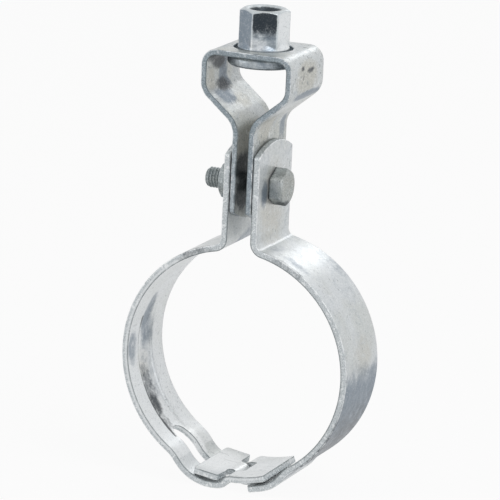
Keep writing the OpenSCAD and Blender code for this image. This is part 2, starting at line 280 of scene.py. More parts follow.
def formStrap(name, path, outline, holes, width, press=None, lines=()):
    # cuts the blank, rounds its edges and bends it; press pushes a channel, lines are extra rows along its flanks
    loops = [spaced(outline, sheet["edgeStep"])] + [spaced(h, sheet["edgeStep"]) for h in holes]
    normals = [inwardNormals(loop, 1 if i == 0 else -1) for i, loop in enumerate(loops)]
    profile = edgeProfile(path["thick"])
    flat, depth, rim, paintedEdgeHighlight, darkEdgeLine, faces = [], [], [], [], [], []
    ringStart = []
    for loop, normal in zip(loops, normals):
        starts = []
        for inset, t in profile:
            starts.append(sum(len(f) for f in flat))
            flat.append(loop + normal * inset)
            depth.append(np.full(len(loop), t))
            rim.append(np.full(len(loop), 1.0 if 0 < t < path["thick"] else 0.0))
            # painted highlight along the rolled rounding
            paintedEdgeHighlight.append(np.full(len(loop), 1.0 if 0 < t < sheet["roll"] * 0.9 else 0.0))
            # a thin dark line along the rounding on the burr face
            darkEdgeLine.append(np.full(len(loop), 1.0 if path["thick"] - sheet["burr"] * 1.1 < t and inset < 0.3 else 0.0))
        ringStart.append(starts)
        n = len(loop)
        for low, high in zip(starts, starts[1:]):
            faces += [(low + i, low + (i + 1) % n, high + (i + 1) % n, high + i) for i in range(n)]
    for ring, t in ((0, 0.0), (len(profile) - 1, path["thick"])):
        inner = [loop + normal * profile[ring][0] for loop, normal in zip(loops, normals)]
        grid, made = fillFace(inner, path["rows"], width, lines)
        index = np.concatenate([np.arange(len(loop)) + starts[ring] for loop, starts in zip(loops, ringStart)]
                               + [np.arange(len(grid)) + sum(len(f) for f in flat)])
        flat.append(grid)
        depth.append(np.full(len(grid), t))
        rim.append(np.zeros(len(grid)))
        paintedEdgeHighlight.append(np.zeros(len(grid)))
        darkEdgeLine.append(np.zeros(len(grid)))
        faces += [tuple(int(v) for v in f) for f in index[made]]
    flat, depth = np.concatenate(flat), np.concatenate(depth)
    push = press(flat[:, 0], flat[:, 1]) if press else 0
    placed = placeOnPath(path, flat[:, 0], depth - push)
    points = np.stack([placed[:, 0], flat[:, 1], placed[:, 1]], 1)
    piece = meshPiece(name, points, faces)
    setNumber(piece, "rim", np.concatenate(rim))
    setNumber(piece, "paintedEdgeHighlight", np.concatenate(paintedEdgeHighlight))
    setNumber(piece, "darkEdgeLine", np.concatenate(darkEdgeLine))
    return piece


def meshPiece(name, points, faces):
    mesh = bpy.data.meshes.new(name)
    mesh.from_pydata((np.asarray(points) * mm).tolist(), [], [tuple(map(int, f)) for f in faces])
    shape = bmesh.new()
    shape.from_mesh(mesh)
    bmesh.ops.recalc_face_normals(shape, faces=shape.faces)
    shape.to_mesh(mesh)
    shape.free()
    mesh.shade_smooth()
    piece = bpy.data.objects.new(name, mesh)
    bpy.context.scene.collection.objects.link(piece)
    return piece


def setNumber(piece, label, values):
    layer = piece.data.attributes.get(label) or piece.data.attributes.new(label, "FLOAT", "POINT")
    layer.data.foreach_set("value", np.asarray(values, np.float32))


def dipInZinc(piece, uneven, edgeUneven, seed):
    # the zinc coat: slow waves on the faces and a rougher edge, always into the CAD surface
    mesh = piece.data
    rim = np.zeros(len(mesh.vertices), np.float32)
    mesh.attributes["rim"].data.foreach_get("value", rim)
    shift = Vector((seed * 3.1, seed * 1.7, seed * 2.3))
    moved = np.zeros((len(mesh.vertices), 3))
    for i, v in enumerate(mesh.vertices):
        p = v.co / mm
        slow = noise.noise(p / 7.0 + shift) * 0.7 + noise.noise(p / 2.6 + shift) * 0.3
        quick = noise.noise(p / 1.1 + shift)
        sink = uneven * (0.5 + 0.5 * slow) + rim[i] * edgeUneven * (0.5 + 0.5 * quick)
        moved[i] = v.co - v.normal * max(0.0, sink) * mm
    mesh.vertices.foreach_set("co", moved.ravel())
    mesh.update()


# turned parts

def loopsToMesh(name, loops, closed):
    # joins loops of equal length; closed joins the last to the first, otherwise both ends get a fan
    count = len(loops[0])
    points = np.concatenate(loops)
    faces = []
    pairs = list(zip(range(len(loops)), range(1, len(loops))))
    if closed:
        pairs.append((len(loops) - 1, 0))
    for low, high in pairs:
        faces += [(low * count + i, low * count + (i + 1) % count, high * count + (i + 1) % count, high * count + i)
                  for i in range(count)]
    if not closed:
        for k in (0, len(loops) - 1):
            centre = len(points)
            points = np.concatenate([points, loops[k].mean(0)[None]])
            faces += [(k * count + i, k * count + (i + 1) % count, centre) for i in range(count)]
    piece = meshPiece(name, points, faces)
    setNumber(piece, "rim", np.zeros(len(points)))
    return piece


def hexRadius(turn, flats, corner):
    # distance of a hexagon's side at each turn, its corners rounded to the given radius
    a = (np.degrees(turn) + 30) % 60 - 30          # a corner stands at 0, so flats lie at +-30
    off = np.radians(30 - np.abs(a))
    flat = flats / 2 / np.cos(off)
    tip = flats / 2 / math.cos(math.radians(30))
    centre = (flats / 2 - corner) / math.cos(math.radians(30))
    b = np.radians(np.abs(a))
    inside = np.clip(corner ** 2 - (centre * np.sin(b)) ** 2, 0, None)
    arc = centre * np.cos(b) + np.sqrt(inside)
    reach = np.arctan2(corner * math.sin(math.radians(30)), centre + corner * math.cos(math.radians(30)))
    return np.where(b < reach, np.minimum(arc, tip), flat)


def threadRadius(turn, along, major, depth, pitch):
    # one start thread with flattened crests and roots
    phase = (along / pitch - turn / (2 * math.pi)) % 1.0
    wave = 1 - np.abs(2 * phase - 1)
    return major - depth + depth * np.clip((wave - 0.12) / 0.68, 0, 1)


def ringLoop(turn, radius, along):
    return np.stack([radius * np.cos(turn), radius * np.sin(turn), np.broadcast_to(along, turn.shape)], 1)


def hexLoops(turn, flats, height, flatRadius, round_, soft, lowerChamfer):
    # (radius, along) pairs from the seat up round the hexagon to the top flat circle
    side = hexRadius(turn, flats, round_)
    slope = math.tan(math.radians(30))
    drop = (side - flatRadius) * slope
    top = np.full_like(side, height)
    rim = []
    edge = np.stack([side, height - drop])
    flatEdge = np.stack([np.full_like(side, flatRadius), top])
    foot = np.stack([side, drop if lowerChamfer else np.zeros_like(side)])
    inner = np.stack([np.full_like(side, flatRadius), np.zeros_like(side)])

    def toward(p, q, distance):
        gap = np.linalg.norm(q - p, axis=0)
        return p + (q - p) * np.clip(distance / np.maximum(gap, 1e-6), 0, 0.45)

    def soften(before, corner, after, distance):
        p0, p1 = toward(corner, before, distance), toward(corner, after, distance)
        return [(1 - u) ** 2 * p0 + 2 * u * (1 - u) * corner + u ** 2 * p1 for u in (0, 0.25, 0.5, 0.75, 1)]

    centre = np.stack([np.full_like(side, flatRadius * 0.8), top])
    below = np.stack([np.full_like(side, flatRadius * 0.8), np.zeros_like(side)])
    if lowerChamfer:
        rim += soften(below, inner, foot, soft)
        rim += soften(inner, foot, edge, soft)
    else:
        rim += soften(below, foot, edge, soft)
    for k in (0.1, 0.3, 0.5, 0.7, 0.9):
        rim.append(foot + (edge - foot) * k)
    rim += soften(foot, edge, flatEdge, soft)
    rim += soften(edge, flatEdge, centre, soft)
    return rim


def turnedToAxis(points, axis, origin):
    # local (x, y, along) points onto the CAD axis
    sign = 1 if axis == "+x" else -1
    return np.stack([sign * points[:, 2], points[:, 0], points[:, 1]], 1) + np.array(origin)


# zinc finishes

def zincFinish(name, look):
    # hot-dip zinc: cloudy tone, and where a piece is marked so beige patches, blue-grey painted shade, painted shadow
    # mixed with dark stains and painted light; fine grain, specks, scratches, grainy cut edges, a painted highlight
    # along the rolled edge and a dark line along the burr edge
    material = bpy.data.materials.new(name)
    material.use_nodes = True
    nodes, links = material.node_tree.nodes, material.node_tree.links
    nodes.clear()
    place = 0

    def node(kind, **values):
        nonlocal place
        made = nodes.new(kind)
        made.location = (place % 8 * 190, -(place // 8) * 260)
        place += 1
        for key, value in values.items():
            setattr(made, key, value)
        return made

    def noiseAt(scale, detail, rough, source, warp=0.0):
        n = node("ShaderNodeTexNoise")
        n.inputs["Scale"].default_value = scale
        n.inputs["Detail"].default_value = detail
        n.inputs["Roughness"].default_value = rough
        n.inputs["Distortion"].default_value = warp
        links.new(source, n.inputs["Vector"])
        return n.outputs["Fac"]

    def ramp(source, low, high):
        r = node("ShaderNodeMapRange", interpolation_type="SMOOTHSTEP")
        r.inputs["From Min"].default_value = low
        r.inputs["From Max"].default_value = high
        links.new(source, r.inputs["Value"])
        return r.outputs["Result"]

    def maths(kind, a, b):
        m = node("ShaderNodeMath", operation=kind)
        for socket, value in zip(m.inputs, (a, b)):
            if isinstance(value, (int, float)):
                socket.default_value = value
            else:
                links.new(value, socket)
        return m.outputs["Value"]

    def mix(factor, a, b):
        m = node("ShaderNodeMix", data_type="RGBA")
        for socket, value in zip((m.inputs[0], m.inputs[6], m.inputs[7]), (factor, a, b)):
            if isinstance(value, (int, float)):
                socket.default_value = value
            elif isinstance(value, tuple):
                socket.default_value = (*value, 1)
            else:
                links.new(value, socket)
        return m.outputs[2]

    def marked(label):
        return node("ShaderNodeAttribute", attribute_name=label).outputs["Fac"]

    def patchy(mark, texture, uneven, depth):
        # a marked area whose border and inside are broken up by a texture
        rough = maths("ADD", mark, maths("MULTIPLY", maths("SUBTRACT", texture, 0.5), uneven))
        return maths("MULTIPLY", maths("MULTIPLY", ramp(rough, 0.10, 0.80), ramp(mark, 0.0, 0.2)), depth)

    coords = node("ShaderNodeTexCoord").outputs["Object"]
    rim, paintedEdgeHighlight, darkEdgeLine = (marked(label) for label in ("rim", "paintedEdgeHighlight", "darkEdgeLine"))
    paintedShade, darkStainAndShadow, beige, pale = (marked(label) for label in ("paintedShade", "darkStainAndShadow", "beige", "pale"))
    stretch = node("ShaderNodeMapping", vector_type="POINT")
    stretch.inputs["Rotation"].default_value = look["scratchTurn"]
    stretch.inputs["Scale"].default_value = look["scratchStretch"]
    links.new(coords, stretch.inputs["Vector"])

    cloud = noiseAt(look["cloudScale"], 4, 0.55, coords, 0.6)
    blotch = noiseAt(look["blotchScale"], 8, 0.7, coords, 1.1)
    mottle = noiseAt(look["mottleScale"], 6, 0.72, coords, 0.4)
    grain = noiseAt(look["grainScale"], 3, 0.6, coords)
    speck = noiseAt(look["speckScale"], 3, 0.5, coords)
    scratch = noiseAt(look["scratchScale"], 2, 0.4, stretch.outputs["Vector"])

    tone = mix(ramp(cloud, 0.38, 0.66), look["pale"], look["warm"])
    tone = mix(maths("MULTIPLY", ramp(blotch, look["blotchFrom"], look["blotchTo"]), look["blotchDepth"]),
               tone, look["blue"])
    tone = mix(patchy(beige, mottle, 1.3, look["beigeDepth"]), tone, look["beige"])
    # painted light where a piece is marked pale
    tone = mix(patchy(pale, blotch, 0.6, look["paintedLightDepth"]), tone, look["bright"])
    broken = maths("MULTIPLY", maths("ADD", blotch, mottle), 0.5)
    # painted shade and dark reflections in blue-grey
    tone = mix(patchy(paintedShade, broken, 1.5, look["paintedShadeDepth"]), tone, look["paintedShade"])
    # near-black: painted shadow in corners, gaps and bores, and dark stains
    tone = mix(patchy(darkStainAndShadow, mottle, 1.2, look["darkStainAndShadowDepth"]), tone, look["darkStainAndShadow"])
    # flecks, weaker under painted shade, painted shadow and dark stains
    calm = maths("SUBTRACT", 1.0, maths("MULTIPLY", maths("MAXIMUM", darkStainAndShadow, maths("MULTIPLY", paintedShade, 0.6)), 0.8))
    for texture, low, high, label, colour in (
            (mottle, 0.55, 0.75, "mottleDepth", "blue"), (mottle, 0.45, 0.28, "mottleDepth", "bright"),
            (grain, 0.50, 0.72, "grainDepth", "dark"), (grain, 0.50, 0.28, "grainDepth", "bright"),
            (speck, look["speckFrom"], look["speckFrom"] + 0.05, "speckDepth", "dark"),
            (scratch, 0.66, 0.70, "scratchDepth", "bright"), (scratch, 0.34, 0.30, "scratchDepth", "dark")):
        fleck = maths("MULTIPLY", ramp(texture, low, high), look[label])
        tone = mix(maths("MULTIPLY", fleck, calm), tone, look[colour])
    edgeTone = mix(ramp(grain, 0.32, 0.68), look["edgeDark"], look["edgePale"])
    edgeTone = mix(maths("MULTIPLY", ramp(mottle, 0.42, 0.62), look["edgeCloud"]), edgeTone, look["edgeDark"])
    edgeTone = mix(maths("MULTIPLY", ramp(speck, 0.58, 0.64), look["edgeSparkle"]), edgeTone, look["bright"])
    # painted light and painted shadow carry over onto the cut edges
    edgeTone = mix(patchy(pale, blotch, 0.6, look["paintedLightDepth"]), edgeTone, look["bright"])
    edgeTone = mix(patchy(darkStainAndShadow, mottle, 1.0, look["darkStainAndShadowDepth"]), edgeTone, look["darkStainAndShadow"])
    tone = mix(maths("MULTIPLY", rim, look["edgeDepth"]), tone, edgeTone)
    # painted highlight along the rolled edge
    tone = mix(maths("MULTIPLY", maths("MULTIPLY", paintedEdgeHighlight, ramp(mottle, 0.62, 0.42)), look["paintedEdgeHighlightDepth"]),
               tone, look["bright"])
    # a thin dark line along the burr edge
    tone = mix(maths("MULTIPLY", maths("MULTIPLY", darkEdgeLine, ramp(mottle, 0.25, 0.50)), look["darkEdgeLineDepth"]),
               tone, look["darkEdgeLine"])

    shader = node("ShaderNodeBsdfPrincipled")
    shader.inputs["Metallic"].default_value = look["metal"]
    shader.inputs["Specular IOR Level"].default_value = 0.5
    links.new(tone, shader.inputs["Base Color"])
    dull = node("ShaderNodeMapRange")
    dull.inputs["To Min"].default_value = look["glossy"]
    dull.inputs["To Max"].default_value = look["matt"]
    links.new(maths("ADD", maths("MULTIPLY", blotch, 0.6), maths("MULTIPLY", mottle, 0.4)), dull.inputs["Value"])
    links.new(dull.outputs["Result"], shader.inputs["Roughness"])
    lump = node("ShaderNodeBump")
    lump.inputs["Strength"].default_value = look["lumpStrength"]
    lump.inputs["Distance"].default_value = look["lumpHeight"]
    fine = maths("MULTIPLY", grain, maths("ADD", maths("MULTIPLY", rim, 0.9), 0.12))
    height = maths("ADD", maths("MULTIPLY", blotch, 0.9), maths("MULTIPLY", mottle, 0.35))
    links.new(maths("ADD", height, fine), lump.inputs["Height"])
    links.new(lump.outputs["Normal"], shader.inputs["Normal"])
    out = node("ShaderNodeOutputMaterial")
    links.new(shader.outputs["BSDF"], out.inputs["Surface"])
    return material


zinc = {
    "pale": (0.66, 0.69, 0.71), "warm": (0.60, 0.625, 0.62), "blue": (0.42, 0.47, 0.51),
    "beige": (0.57, 0.56, 0.51), "beigeDepth": 0.75, "paintedLightDepth": 0.85, "paintedShade": (0.15, 0.20, 0.26), "paintedShadeDepth": 0.88,
    "darkStainAndShadow": (0.012, 0.021, 0.030), "darkStainAndShadowDepth": 0.96, "dark": (0.20, 0.23, 0.24), "bright": (0.92, 0.94, 0.95),
    "edgeDark": (0.42, 0.46, 0.48), "edgePale": (0.78, 0.82, 0.84), "edgeDepth": 0.85, "edgeCloud": 0.35,
    "edgeSparkle": 0.8, "paintedEdgeHighlightDepth": 0.75, "darkEdgeLine": (0.12, 0.15, 0.16), "darkEdgeLineDepth": 0.75,
    "cloudScale": 40, "blotchScale": 95, "blotchFrom": 0.50, "blotchTo": 0.72, "blotchDepth": 0.5,
    "mottleScale": 330, "mottleDepth": 0.3, "grainScale": 1700, "grainDepth": 0.28,
    "speckScale": 620, "speckFrom": 0.68, "speckDepth": 0.6,
    "scratchScale": 60, "scratchDepth": 0.25, "scratchTurn": (0.3, 0.5, 0.8), "scratchStretch": (1.0, 9.0, 14.0),
    "metal": 0.6, "glossy": 0.18, "matt": 0.50, "lumpStrength": 0.35, "lumpHeight": 0.0005,
}
bandZinc = zincFinish("bandZinc", zinc)
yokeZinc = zincFinish("yokeZinc", zinc | {
    "pale": (0.60, 0.63, 0.64), "warm": (0.53, 0.545, 0.515), "beige": (0.50, 0.49, 0.43), "mottleDepth": 0.55,
    "blotchDepth": 0.65, "grainDepth": 0.4, "speckFrom": 0.62, "scratchTurn": (1.1, 0.2, 0.3), "edgePale": (0.42, 0.49, 0.54),
    "edgeDark": (0.15, 0.19, 0.22), "edgeDepth": 0.9, "edgeSparkle": 0.35})
nutZinc = zincFinish("nutZinc", zinc | {
    "pale": (0.58, 0.63, 0.66), "warm": (0.56, 0.60, 0.61), "cloudScale": 90, "mottleDepth": 0.4})
boltZinc = zincFinish("boltZinc", zinc | {
    "pale": (0.38, 0.42, 0.43), "warm": (0.36, 0.375, 0.355), "blue": (0.24, 0.30, 0.35), "grainDepth": 0.6,
    "dark": (0.13, 0.15, 0.15), "bright": (0.74, 0.76, 0.76), "speckFrom": 0.62, "glossy": 0.28, "matt": 0.60})
print("finishes made")


def finishPiece(piece, material, body, node):
    piece.data.materials.append(material)
    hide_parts(node)
    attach(piece, body)


def cornersOf(piece):
    co = np.zeros(len(piece.data.vertices) * 3, np.float32)
    piece.data.vertices.foreach_get("co", co)
    return co.reshape(-1, 3) / mm


def markTones(piece, spots, whole=None, share=1.0):
    # spots are (tone, centre in mm, reach in mm, strength); a spot is full in its middle and fades to its reach;
    # whole gives a tone as one number for each corner of the mesh, and share weakens the spots there
    # the blue-grey tone paints shade and dark reflections, the near-black tone paints shadow as well as dark stains,
    # the pale tone paints light, and beige is a colour of the zinc
    points = cornersOf(piece)
    tones = {label: np.zeros(len(points)) for label in ("paintedShade", "darkStainAndShadow", "beige", "pale")}
    for label, values in (whole or {}).items():
        tones[label] = np.asarray(values, float)
    for tone, centre, reach, strength in spots:
        d = np.linalg.norm((points - np.array(centre)) / np.array(reach), axis=1)
        tones[tone] = np.maximum(tones[tone], share * strength * np.clip(1.2 - 1.2 * d * d, 0, 1))
    for label, values in tones.items():
        setNumber(piece, label, values)


# the two halves of the band

band = {
    "pipeRadius": 44.55, "thick": 2.6, "skim": 0.05, "width": 32.0, "footRadius": 3.0,
    "boltHeight": 68.5, "earRise": 13.5, "endRadius": 32.0, "holeRadius": 4.5, "stackHalf": 7.4,
    "slotWidth": 12.0, "slitWidth": 9.0, "slotRoom": 14.0, "slotReach": 34.7, "slotPast": 2.8,
    "channelWidth": 10.6, "channelDepth": 1.2, "channelReach": 89.7, "channelSoft": 1.1,
    "barLength": 13.0, "barRoot": 1.5, "dipDepth": 4.3, "dipLength": 30.0, "entryRadius": 15.0, "bowlRadius": 19.5,
    "neckClear": 0.5, "underGap": 0.9, "shoulderPast": 4.9, "headBack": 5.5, "headLength": 10.8, "headFlat": 8.0,
    "headLift": 0.5, "crankRadius": 2.0, "joggleRadius": 13.0, "joggleBack": 1.8,
    "cornerEase": 1.3, "neckFillet": 1.8, "slotEase": 0.7,
}
bottom = 270.0
ringRadius = band["pipeRadius"] - band["skim"] + band["thick"]


def arcTurn(length):
    return math.degrees(length / ringRadius)


def joggleParts(r, h, q, p=None):
    # turn taken along the band, and turn of each bend, of a step from radius r out to r + h
    p = q + band["thick"] if p is None else p
    near, far = r + q, r + h - p
    span = math.degrees(math.acos((near ** 2 + far ** 2 - (p + q) ** 2) / (2 * near * far)))
    turn = math.degrees(math.acos((near ** 2 + (p + q) ** 2 - far ** 2) / (2 * near * (p + q))))
    return p, near, far, span, turn


def joggle(r, h, q, angle, way):
    p, near, far, span, turn = joggleParts(r, h, q)
    farAngle = angle + way * span
    return [bend(polar(near, angle), q, p, angle + 180, angle + 180 - way * turn),
            bend(polar(far, farAngle), p, q, angle - way * turn, farAngle)]


def reverseBends(bends):
    return [bend(b["centre"], b["a"], b["b"], b["to"], b["from"]) for b in reversed(bends)]


def ringArc(radius, start, end):
    return bend((0, 0), radius, radius - band["thick"], start, end)


def footBend(side):
    x = side * (band["stackHalf"] + band["footRadius"])
    z = math.sqrt((ringRadius + band["footRadius"]) ** 2 - x ** 2)
    angle = math.degrees(math.atan2(z, x))
    b = bend((x, z), band["footRadius"], band["footRadius"] + band["thick"], 180 if side > 0 else 0,
             angle + side * 180)
    return b, angle


def earEnd(side):
    # raw end of an ear, and the height of the centre of its curved end
    face = side * band["stackHalf"]
    back = face - side * band["thick"]
    centre = band["boltHeight"] + band["earRise"] - math.sqrt(band["endRadius"] ** 2 - (band["width"] / 2) ** 2)
    top = centre + band["endRadius"] + 1
    return (np.array([face, top]), np.array([back, top])), centre, top


def boltHole(path, height):
    centre = lengthAt(path, (heightOf, height, (0, 40)))
    return [np.array([centre, 0]) + polar(band["holeRadius"], a) for a in range(0, 360, 6)]


slotEnd = bottom + arcTurn(band["slotPast"])
dipEnd = slotEnd - arcTurn(band["barRoot"])
dipStart = dipEnd - arcTurn(band["dipLength"])
leftEnd = bottom + arcTurn(band["slotPast"] + band["barLength"])


def dipBends():
    # out of the ring by an easy bend, round the bowl and back in by two tight bends
    easy, bowl, tight = band["entryRadius"], band["bowlRadius"], band["crankRadius"]
    t = band["thick"]
    out = tight + t
    span = joggleParts(ringRadius, band["dipDepth"], easy, bowl)[3]
    entryAt = polar(ringRadius + easy, dipStart)
    bowlAt = polar(ringRadius + band["dipDepth"] - bowl, dipStart + span)
    exitAt = polar(ringRadius + tight, dipEnd)
    turnAt = apex(exitAt, tight + out, bowlAt, bowl - out)
    last = turnFrom(bowlAt, turnAt, bottom)
    return [bend(entryAt, easy, easy + t, dipStart + 180, turnFrom(entryAt, bowlAt, dipStart + 180)),
            bend(bowlAt, bowl, bowl - t, turnFrom(bowlAt, entryAt, dipStart), last),
            bend(turnAt, out, tight, last, turnFrom(turnAt, exitAt, bottom)),
            bend(exitAt, tight, out, turnFrom(exitAt, turnAt, dipEnd - 180), dipEnd - 180)]


first, endCentre, earTop = earEnd(-1)
foot, footAngle = footBend(-1)
leftPath = makePath([foot, ringArc(ringRadius, footAngle, dipStart)] + dipBends()
                    + [ringArc(ringRadius, dipEnd, leftEnd)], first)
onRing = (40, 1e9)
sEnd = leftPath["s"][-1]
earCentreS = earTop - endCentre
half = band["width"] / 2
outline = easeCorners(
    [(*p, 0) for p in roundedEnd(earCentreS, band["endRadius"], band["width"], band["cornerEase"], -1)]
    + [(sEnd, -half, band["cornerEase"]), (sEnd, half, band["cornerEase"])])
slotTop = lengthAt(leftPath, (turnOf, bottom - arcTurn(band["slotReach"] - band["slitWidth"] / 2), onRing))
slotStep = lengthAt(leftPath, (turnOf, slotEnd - arcTurn(band["slotRoom"]), onRing))
slotFoot = lengthAt(leftPath, (turnOf, slotEnd, onRing))
slotHalf, slitHalf, soft = band["slotWidth"] / 2, band["slitWidth"] / 2, band["slotEase"]
slotLoop = easeCorners([(*p, 0) for p in arcPoints((slotTop, 0), slitHalf, 90, 270, 0.5)]
                       + [(slotStep, -slitHalf, soft), (slotStep, -slotHalf, soft), (slotFoot, -slotHalf, soft),
                          (slotFoot, slotHalf, soft), (slotStep, slotHalf, soft), (slotStep, slitHalf, soft)])
channelTop = bottom - arcTurn(band["channelReach"])
channelMid, channelSweep = (dipStart + channelTop) / 2, (dipStart - channelTop) / 2
sMid = lengthAt(leftPath, (turnOf, channelMid, onRing))


def pressChannel(s, y):
    # how far the channel pushes the metal outwards: it runs out at both ends and has sloped flanks
    turn = np.degrees((s - sMid) / (ringRadius - band["thick"] / 2))
    shift = band["channelDepth"] / (1 - math.cos(math.radians(channelSweep)))
    depth = np.clip(band["channelDepth"] - shift * (1 - np.cos(np.radians(turn))), 0, None)
    depth = np.where(np.abs(turn) < channelSweep + 2, depth, 0)
    edge = (np.abs(y) - band["channelWidth"] / 2) / band["channelSoft"]
    flank = np.clip(1 - edge / 1.2, 0, 1)
    return depth * flank * flank * (3 - 2 * flank)


channelLines = [k * (band["channelWidth"] / 2 + band["channelSoft"] * 1.2 * u)
                for k in (-1, 1) for u in (-0.15, 0.2, 0.5, 0.8, 1.15)]
leftBand = formStrap("leftBand", leftPath, outline, [boltHole(leftPath, band["boltHeight"]), slotLoop],
                     band["width"], pressChannel, channelLines)
dipInZinc(leftBand, 0.10, 0.16, 1)
points = cornersOf(leftBand)
around = np.degrees(np.arctan2(points[:, 2], points[:, 0])) % 360
facing = np.hypot(points[:, 0], points[:, 2]) < band["pipeRadius"] + band["channelDepth"] + 0.4
# the channel's front flank, where a thin line of painted shade goes
flank = np.abs(points[:, 1] + band["channelWidth"] / 2 + 0.45) < 0.75
inChannel = (around > channelTop + 5) & (around < dipStart - 2)
# blue-grey spots paint shade and dark reflections on the inner face; near-black spots lower down darken it in patches
markTones(leftBand, [
    ("paintedShade", (-44, -1, 12), (7, 5, 14), 0.8), ("paintedShade", (-45, 2, 3), (7, 6, 10), 0.6),
    ("paintedShade", (-45, -12, -1), (4, 5, 9), 0.6), ("darkStainAndShadow", (-43, 1, 12), (5, 4, 8), 0.25),
    ("darkStainAndShadow", (-41, -1, -17), (8, 6, 14), 0.5), ("darkStainAndShadow", (-38, -2, -24), (7, 5, 8), 0.7),
    ("darkStainAndShadow", (-33, -3, -31), (6, 4, 6), 0.4), ("paintedShade", (-41, 1, -12), (8, 9, 18), 0.35),
    ("beige", (-44, -2, -9), (6, 8, 8), 0.8),
    ("darkStainAndShadow", (-20, -16, 42), (15, 1.5, 6), 0.45), ("paintedShade", (-8, 4, 46), (5, 14, 6), 0.6),
    # painted shadow between ear and yoke leg, painted light on the crossbar and beside the slot
    ("darkStainAndShadow", (-5, 0, 68), (1.5, 16, 16), 0.7), ("pale", (8, 0, -46), (12, 20, 5), 0.6),
    ("pale", (-25, 6, -39), (10, 3, 10), 0.9)],
    # painted light over the inner face and painted shade along the channel's front flank
    {"pale": 0.5 * facing * (points[:, 2] < 42), "darkStainAndShadow": 0.85 * facing * flank * inChannel},
    np.where(facing | (np.abs(points[:, 2]) > 40), 1, 0.2))
finishPiece(leftBand, bandZinc, "pipe_clamp", "left_band")
print("left half formed")

tuckDepth = band["thick"] + band["underGap"]
tuckRadius, headRadius = ringRadius + tuckDepth, ringRadius + band["headLift"]
neckStep = tuckDepth - band["headLift"]
neckWidth = band["slotWidth"] - 2 * band["neckClear"]
joggleEnd = leftEnd - arcTurn(band["joggleBack"])
joggleStart = joggleEnd + joggleParts(ringRadius, tuckDepth, band["joggleRadius"])[3] - 360
neckBend = bottom + arcTurn(band["slotPast"] - band["neckClear"])
neckSpan = joggleParts(headRadius, neckStep, band["crankRadius"])[3]
headNear = dipEnd - arcTurn(band["headBack"])
headFlat = headNear - arcTurn(band["headLength"] - band["headFlat"])
headTip = tuple(polar(r, headFlat) + polar(band["headFlat"], headFlat - 90)
                for r in (headRadius, headRadius - band["thick"]))
first, endCentre, earTop = earEnd(1)
foot, footAngle = footBend(1)
rightPath = makePath(
    [foot, ringArc(ringRadius, footAngle, joggleStart)]
    + joggle(ringRadius, tuckDepth, band["joggleRadius"], joggleStart, -1)
    + [ringArc(tuckRadius, joggleEnd - 360, neckBend - 360)]
    + reverseBends(joggle(headRadius, neckStep, band["crankRadius"], neckBend - 360 - neckSpan, 1))
    + [ringArc(headRadius, neckBend - 360 - neckSpan, headFlat - 360)], first, headTip)
lower = (110, 1e9)
sEnd = rightPath["s"][-1]
shoulder = lengthAt(rightPath, (turnOf, slotEnd + arcTurn(band["shoulderPast"]), lower))
headEdge = lengthAt(rightPath, (turnOf, headNear, lower))
neckHalf = neckWidth / 2
ease, fillet = band["cornerEase"], band["neckFillet"]
outline = easeCorners(
    [(*p, 0) for p in roundedEnd(earCentreS, band["endRadius"], band["width"], ease, -1)]
    + [(shoulder, -half, ease), (shoulder, -neckHalf, fillet), (headEdge, -neckHalf, fillet), (headEdge, -half, ease),
       (sEnd, -half, ease), (sEnd, half, ease),
       (headEdge, half, ease), (headEdge, neckHalf, fillet), (shoulder, neckHalf, fillet), (shoulder, half, ease)])
rightBand = formStrap("rightBand", rightPath, outline, [boltHole(rightPath, band["boltHeight"])], band["width"])
dipInZinc(rightBand, 0.10, 0.16, 2)
points = cornersOf(rightBand)
below = -np.degrees(np.arctan2(points[:, 2], points[:, 0]))
outer = np.hypot(points[:, 0], points[:, 2]) > band["pipeRadius"] + band["thick"] * 0.7
outer = outer * np.clip((64 - below) / 10, 0, 1)
# painted shadow beside the bolt head and between ear and yoke leg, blue-grey painted reflection flanking the top of the
# band, painted light on the T-head; beige is zinc colour
markTones(rightBand, [
    ("beige", (7, -2, 62), (4, 15, 22), 0.7), ("beige", (46, 2, 6), (8, 12, 12), 0.5),
    ("paintedShade", (7.5, -10, 67), (1.5, 4, 7), 0.8), ("paintedShade", (12, -6, 46), (5, 8, 3), 0.35),
    ("paintedShade", (22, -10, 42), (12, 4, 9), 0.4), ("paintedShade", (26, 13, 39), (14, 6, 10), 0.35),
    ("darkStainAndShadow", (22, -16, 42), (12, 1.5, 7), 0.35), ("darkStainAndShadow", (5, 0, 68), (1.5, 16, 16), 0.7),
    ("pale", (-13, 0, -46), (17, 20, 6), 0.8)],
    # painted dark reflection: the outer face turns blue-grey and then near-black towards the bottom
    {"paintedShade": outer * np.clip((below + 10) / 20, 0, 1.3), "darkStainAndShadow": outer * np.clip((below + 2) / 70, 0, 0.5)})
finishPiece(rightBand, bandZinc, "pipe_clamp", "right_band")
print("right half formed")

# yoke

yokeSizes = {
    "thick": 2.3, "width": 32.0, "span": 37.2, "height": 53.3, "side": 16.5, "slant": 50.0, "cornerRadius": 3.7,
    "sideRadius": 6.0, "legRadius": 8.0, "legGap": 4.4, "legDrop": 8.8, "hole": 11.315, "cornerEase": 1.3,
}
legHalf = yokeSizes["legGap"] / 2 + yokeSizes["thick"]
yokeHalf = yokeSizes["span"] / 2
yokeTop = band["boltHeight"] + yokeSizes["height"]
cornerOut = yokeSizes["cornerRadius"] + yokeSizes["thick"]
sideOut = yokeSizes["sideRadius"] + yokeSizes["thick"]
slantReach = math.tan(math.radians(yokeSizes["slant"] / 2))
slantFoot = yokeTop - yokeSizes["side"] - (yokeHalf - legHalf) / math.tan(math.radians(yokeSizes["slant"]))
legCentre = (band["boltHeight"] - yokeSizes["legDrop"]
             + math.sqrt(band["endRadius"] ** 2 - (yokeSizes["width"] / 2) ** 2))
legEnd = legCentre - band["endRadius"] - 1
